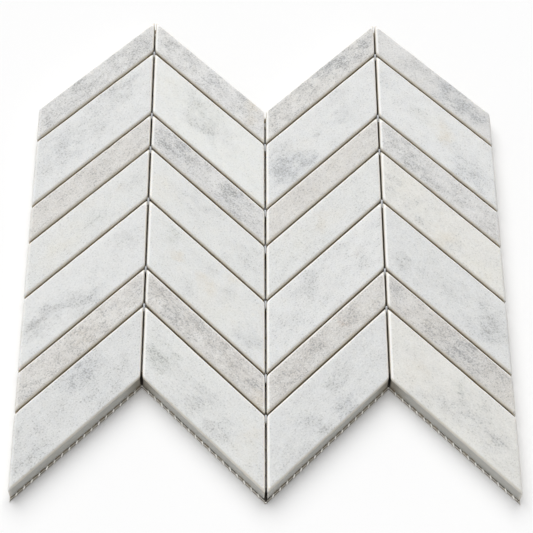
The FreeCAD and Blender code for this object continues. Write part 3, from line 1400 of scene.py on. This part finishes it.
    def _slot_plug(self, mesh: bmesh.types.BMesh, line: int, end: float) -> None:
        """Fills the foot of an upright joint with resin where it comes out at the front, standing in for
        the shade there.

        Args:
            mesh: The mesh that gets the resin.
            line: The joint's number from the left.
            end: Where the stones end on the peak lines.
        """
        middle = line_x(line)
        front = end - CHEVRON_SLOPE * abs(abs(middle) - COLUMN_PITCH) - self.plug_reach
        along = Vector((self.plug_width, 0.0, 0.0))
        across = Vector((0.0, self.plug_length, 0.0))
        base = Vector((middle, front + self.plug_length / 2.0, self.plug_bottom))
        add_box(mesh, along, across, self.plug_height, base)

    def _edge_film(self, mesh: bmesh.types.BMesh, column: int, end: float, side: float) -> None:
        """Lays the film of resin under the yarns along one edge of one column, which also stands in for the
        contact shadow past the yarns.

        Args:
            mesh: The mesh that gets the film.
            column: The column's number from the left.
            end: Where the stones end on the peak lines.
            side: 1 for the back edge, -1 for the front edge.
        """
        left, right, slope = self._span(column)
        middle = (left + right) / 2.0
        width = right - left
        depth = (self.film_reach + self.resin_tuck) * EDGE_STRETCH
        chevron = end - CHEVRON_SLOPE * abs(abs(middle) - COLUMN_PITCH)
        shift = self.film_reach * EDGE_STRETCH - depth / 2.0
        along = Vector((width, slope * width, 0.0))
        base = Vector((middle, chevron + side * shift, self.film_bottom))
        add_box(mesh, along, Vector((0.0, depth, 0.0)), self.film_height, base)

    def _edge_beads(self, mesh: bmesh.types.BMesh, edge: ZigzagEdge) -> None:
        """Lays the beads of resin along one edge of one column, which also stand in for the shadow gaps at
        the wall's foot.

        Args:
            mesh: The mesh that gets the beads.
            edge: The edge that the beads follow.
        """
        width = self.resin_tuck + self.resin_reach
        for distance in edge.stations(self._yarn_line(), self.pitch, 0.5):
            place = edge.peak + edge.away * distance
            chance = noise.noise(place / 4.0)
            length = self.resin_length * (1.0 + self.resin_swing * chance)
            too_far = distance + length / 2.0 > edge.length - self.resin_clearance
            if too_far or (edge.away.x > 0.0 and chance < self.resin_skip):
                continue
            swell = noise.noise(place / 3.0 + Vector((9.0, 4.0, 0.0)))
            height = self.resin_height * (1.0 + self.resin_swell * swell)
            middle = place + edge.outward * (self.resin_reach - width / 2.0)
            base = Vector((middle.x, middle.y, self.resin_bottom))
            add_box(mesh, edge.away * length, edge.outward * width, height, base)

    def _edge_loops(self) -> bmesh.types.BMesh:
        """Stands loops of yarn aslant at the knots along the front edges.

        Returns:
            The loops.
        """
        mesh = bmesh.new()
        from_peak, from_foot = self.loop_clearance
        for column in range(COLUMN_COUNT):
            edge = ZigzagEdge.of(column, SheetOutline().front, 1.0)
            for distance in edge.stations(self._yarn_line(), self.pitch, 0.0):
                if from_peak < distance < edge.length - from_foot:
                    self._loop(mesh, edge, distance)
        return mesh

    def _loop(self, mesh: bmesh.types.BMesh, edge: ZigzagEdge, distance: float) -> None:
        """Stands one loop of yarn aslant on an edge.

        Args:
            mesh: The mesh that gets the loop.
            edge: The edge that the loop stands on.
            distance: The loop's distance from the edge's peak.
        """
        place = edge.peak + edge.away * distance + edge.outward * self.loop_gap
        chance = noise.noise(place / 4.0 + Vector((3.0, 8.0, 0.0)))
        swing = self.loop_swing * chance
        length = self.loop_length * (1.0 + swing)
        lean = edge.away * (self.loop_slant + swing) + Vector((0.0, -1.0, -self.loop_drop))
        size = Matrix.Diagonal((length, self.loop_width, self.loop_height, 1.0))
        turn = lean.to_track_quat("X", "Z").to_matrix().to_4x4()
        seat = Matrix.Translation(place + Vector((0.0, 0.0, self.loop_middle)))
        bmesh.ops.create_uvsphere(mesh, u_segments=8, v_segments=6, radius=0.5, matrix=seat @ turn @ size)


@dataclass(frozen=True)
class DabFinish(Finish):
    """Set adhesive: pale grey, smooth and a little cloudy."""

    roughness: float = 0.4

    def sockets(self, tree: ShaderTree, place: Signal) -> dict[str, object]:
        """Draws the adhesive, with painted shade lower down.

        Args:
            tree: The material's nodes.
            place: The place on the sheet.

        Returns:
            Values and signals by socket name.
        """
        cloud = tree.noise(place, 1.5, 4.0, 0.6).eased(0.35, 0.75)
        # painted shade: darker lower down in the joint
        shaded_lower_down = tree.axis(place, "Z").eased(8.0, 5.0)
        colour = tree.mix(cloud * 0.3, Tint.DAB.colour, Tint.SAWN.colour)
        colour = tree.mix(shaded_lower_down * 0.8, colour, Tint.JOINT_DUST.colour)
        return {"Base Color": colour, "Roughness": self.roughness + cloud * 0.2}


@dataclass
class JointDabs:
    """The dabs of adhesive that stand in the joints where four stones meet."""

    width: float = 1.14
    length: float = 4.2
    tail: float = 0.7
    bottom: float = 3.2
    top: float = 9.5
    sag: float = 0.2
    ease: float = 0.4
    length_swing: float = 0.4
    height_swing: float = 0.6

    def build(self) -> bpy.types.Object:
        """Models and dresses the dabs.

        Returns:
            One object with every dab.
        """
        mesh = bmesh.new()
        middle = (self.bottom + self.top) / 2.0
        for line in range(1, COLUMN_COUNT):
            x = line_x(line)
            drop = 0.0 if line % 2 else COLUMN_RISE
            for row_line in self._row_lines():
                chance = noise.noise(Vector((x * 0.37, row_line * 0.41, 5.5)))
                length = self.length * (1.0 + self.length_swing * chance)
                height = self.top - self.bottom + self.height_swing * chance
                across = Vector((0.0, length, self.sag * length))
                base = Vector((x, row_line - drop + self.tail - length / 2.0, self.bottom))
                add_box(mesh, Vector((self.width, 0.0, 0.0)), across, height, base)
        rims = [edge for edge in mesh.edges if all(vert.co.z > middle for vert in edge.verts)]
        ease_edges(mesh, rims, self.ease, 3)
        bmesh.ops.recalc_face_normals(mesh, faces=mesh.faces)
        piece = write_mesh(mesh, "joint_dabs")
        piece.data.materials.append(DabFinish().material("set_adhesive"))
        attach(piece, BODY)
        return piece

    def _row_lines(self) -> list[float]:
        """Finds where the slanted joints cross the lines of peaks.

        Returns:
            Y of each joint's middle, from the first column's stones.
        """
        stones = sorted(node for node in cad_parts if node.startswith("column1"))
        inset = JOINT_WIDTH * (CHEVRON_SLOPE + EDGE_STRETCH) / 2.0
        return [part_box(stone)[0][1] / MM + COLUMN_RISE - inset for stone in stones[:-1]]


@dataclass
class Studio:
    """A white floor under one wide soft lamp and an even white sky."""

    fill: float = 0.38
    key: float = 0.62
    sky_lean: float = 0.36
    key_azimuth: float = -11.0
    key_elevation: float = 51.0
    key_spread: float = 60.0
    key_distance: float = 2.0
    floor_half: float = 3.0

    def build(self) -> None:
        """Makes the floor, the lamp and the sky."""
        self._floor()
        self._lamp()
        self._sky()

    def _floor(self) -> None:
        """Lays the floor that the sheet rests on."""
        mesh = bmesh.new()
        bmesh.ops.create_grid(mesh, x_segments=1, y_segments=1, size=self.floor_half / MM)
        floor = write_mesh(mesh, "studio_floor")
        made = bpy.data.materials.new("studio_floor_paint")
        tree = ShaderTree(made)
        inputs = {"Base Color": Tint.FLOOR.colour, "Roughness": 0.9, "Specular IOR Level": 0.0}
        tree.surface(tree.node("ShaderNodeBsdfPrincipled", {}, inputs))
        floor.data.materials.append(made)

    def _lamp(self) -> None:
        """Hangs the soft key lamp behind the sheet, on its left."""
        lamp = bpy.data.lights.new("soft_key", "SUN")
        elevation = math.radians(self.key_elevation)
        azimuth = math.radians(self.key_azimuth)
        lamp.angle = math.radians(self.key_spread)
        lamp.energy = self.key * math.pi / math.sin(elevation)
        towards = Vector((
            math.sin(azimuth) * math.cos(elevation),
            math.cos(azimuth) * math.cos(elevation),
            math.sin(elevation),
        ))
        holder = bpy.data.objects.new("soft_key", lamp)
        holder.rotation_mode = "QUATERNION"
        holder.rotation_quaternion = towards.to_track_quat("Z", "Y")
        holder.location = towards * self.key_distance
        bpy.context.scene.collection.objects.link(holder)

    def _sky(self) -> None:
        """Makes the fill, stronger on the left, which the camera and reflections see as white."""
        world = bpy.data.worlds.new("studio_sky")
        bpy.context.scene.world = world
        tree = ShaderTree(world)
        camera = tree.node("ShaderNodeLightPath", {}, {}, "Is Camera Ray")
        glossy = tree.node("ShaderNodeLightPath", {}, {}, "Is Glossy Ray")
        through = tree.node("ShaderNodeLightPath", {}, {}, "Is Transmission Ray")
        seen = (camera + glossy + through).clipped()
        way = tree.node("ShaderNodeTexCoord", {}, {}, "Generated")
        fill = self.fill - tree.axis(way, "X") * (self.fill * self.sky_lean)
        strength = fill + seen * (1.0 - fill)
        inputs = {"Color": (1.0, 1.0, 1.0, 1.0), "Strength": strength}
        tree.surface(tree.node("ShaderNodeBackground", {}, inputs), "ShaderNodeOutputWorld")


@dataclass
class PhotoCamera:
    """The photograph's view: a long lens in front of the sheet, looking down."""

    eye: tuple[float, float, float] = (-19.48, -497.97, 834.15)
    elevation: float = 59.806
    yaw: float = 2.3986
    roll: float = 2.5965
    focal_pixels: float = 1629.0
    sensor: float = 36.0

    def build(self) -> None:
        """Makes the camera and looks through it."""
        data = bpy.data.cameras.new("photo_camera")
        data.sensor_width = self.sensor
        data.lens = self.focal_pixels * self.sensor / IMAGE_SIZE
        data.clip_start = 0.05
        data.clip_end = 20.0
        tilt = Matrix.Rotation(math.radians(90.0 - self.elevation), 4, "X")
        heading = Matrix.Rotation(math.radians(-self.yaw), 4, "Z")
        lean = Matrix.Rotation(math.radians(self.roll), 4, "Z")
        camera = bpy.data.objects.new("photo_camera", data)
        camera.matrix_world = Matrix.Translation(Vector(self.eye) * MM) @ heading @ tilt @ lean
        bpy.context.scene.collection.objects.link(camera)
        bpy.context.scene.camera = camera


def dress_stones() -> None:
    """Builds every stone of the sheet."""
    nodes = sorted(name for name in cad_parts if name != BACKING_NODE)
    for number, node in enumerate(nodes):
        look = STONE_LOOKS["_".join(node.split("_")[:2])]
        piece = MarbleStrip(node, look, number).build()
        log.info("%s: %d faces", piece.name, len(piece.data.polygons))


def main() -> None:
    """Builds the camera, the sheet and the studio in order."""
    logging.basicConfig(level=logging.INFO, format="%(name)s %(message)s")
    bpy.context.scene.view_settings.view_transform = "Standard"
    PhotoCamera().build()
    dress_stones()
    for piece in [*BackingNet().build(), JointDabs().build()]:
        log.info("%s: %d faces", piece.name, len(piece.data.polygons))
    Studio().build()


if __name__ == "__main__":
    main()
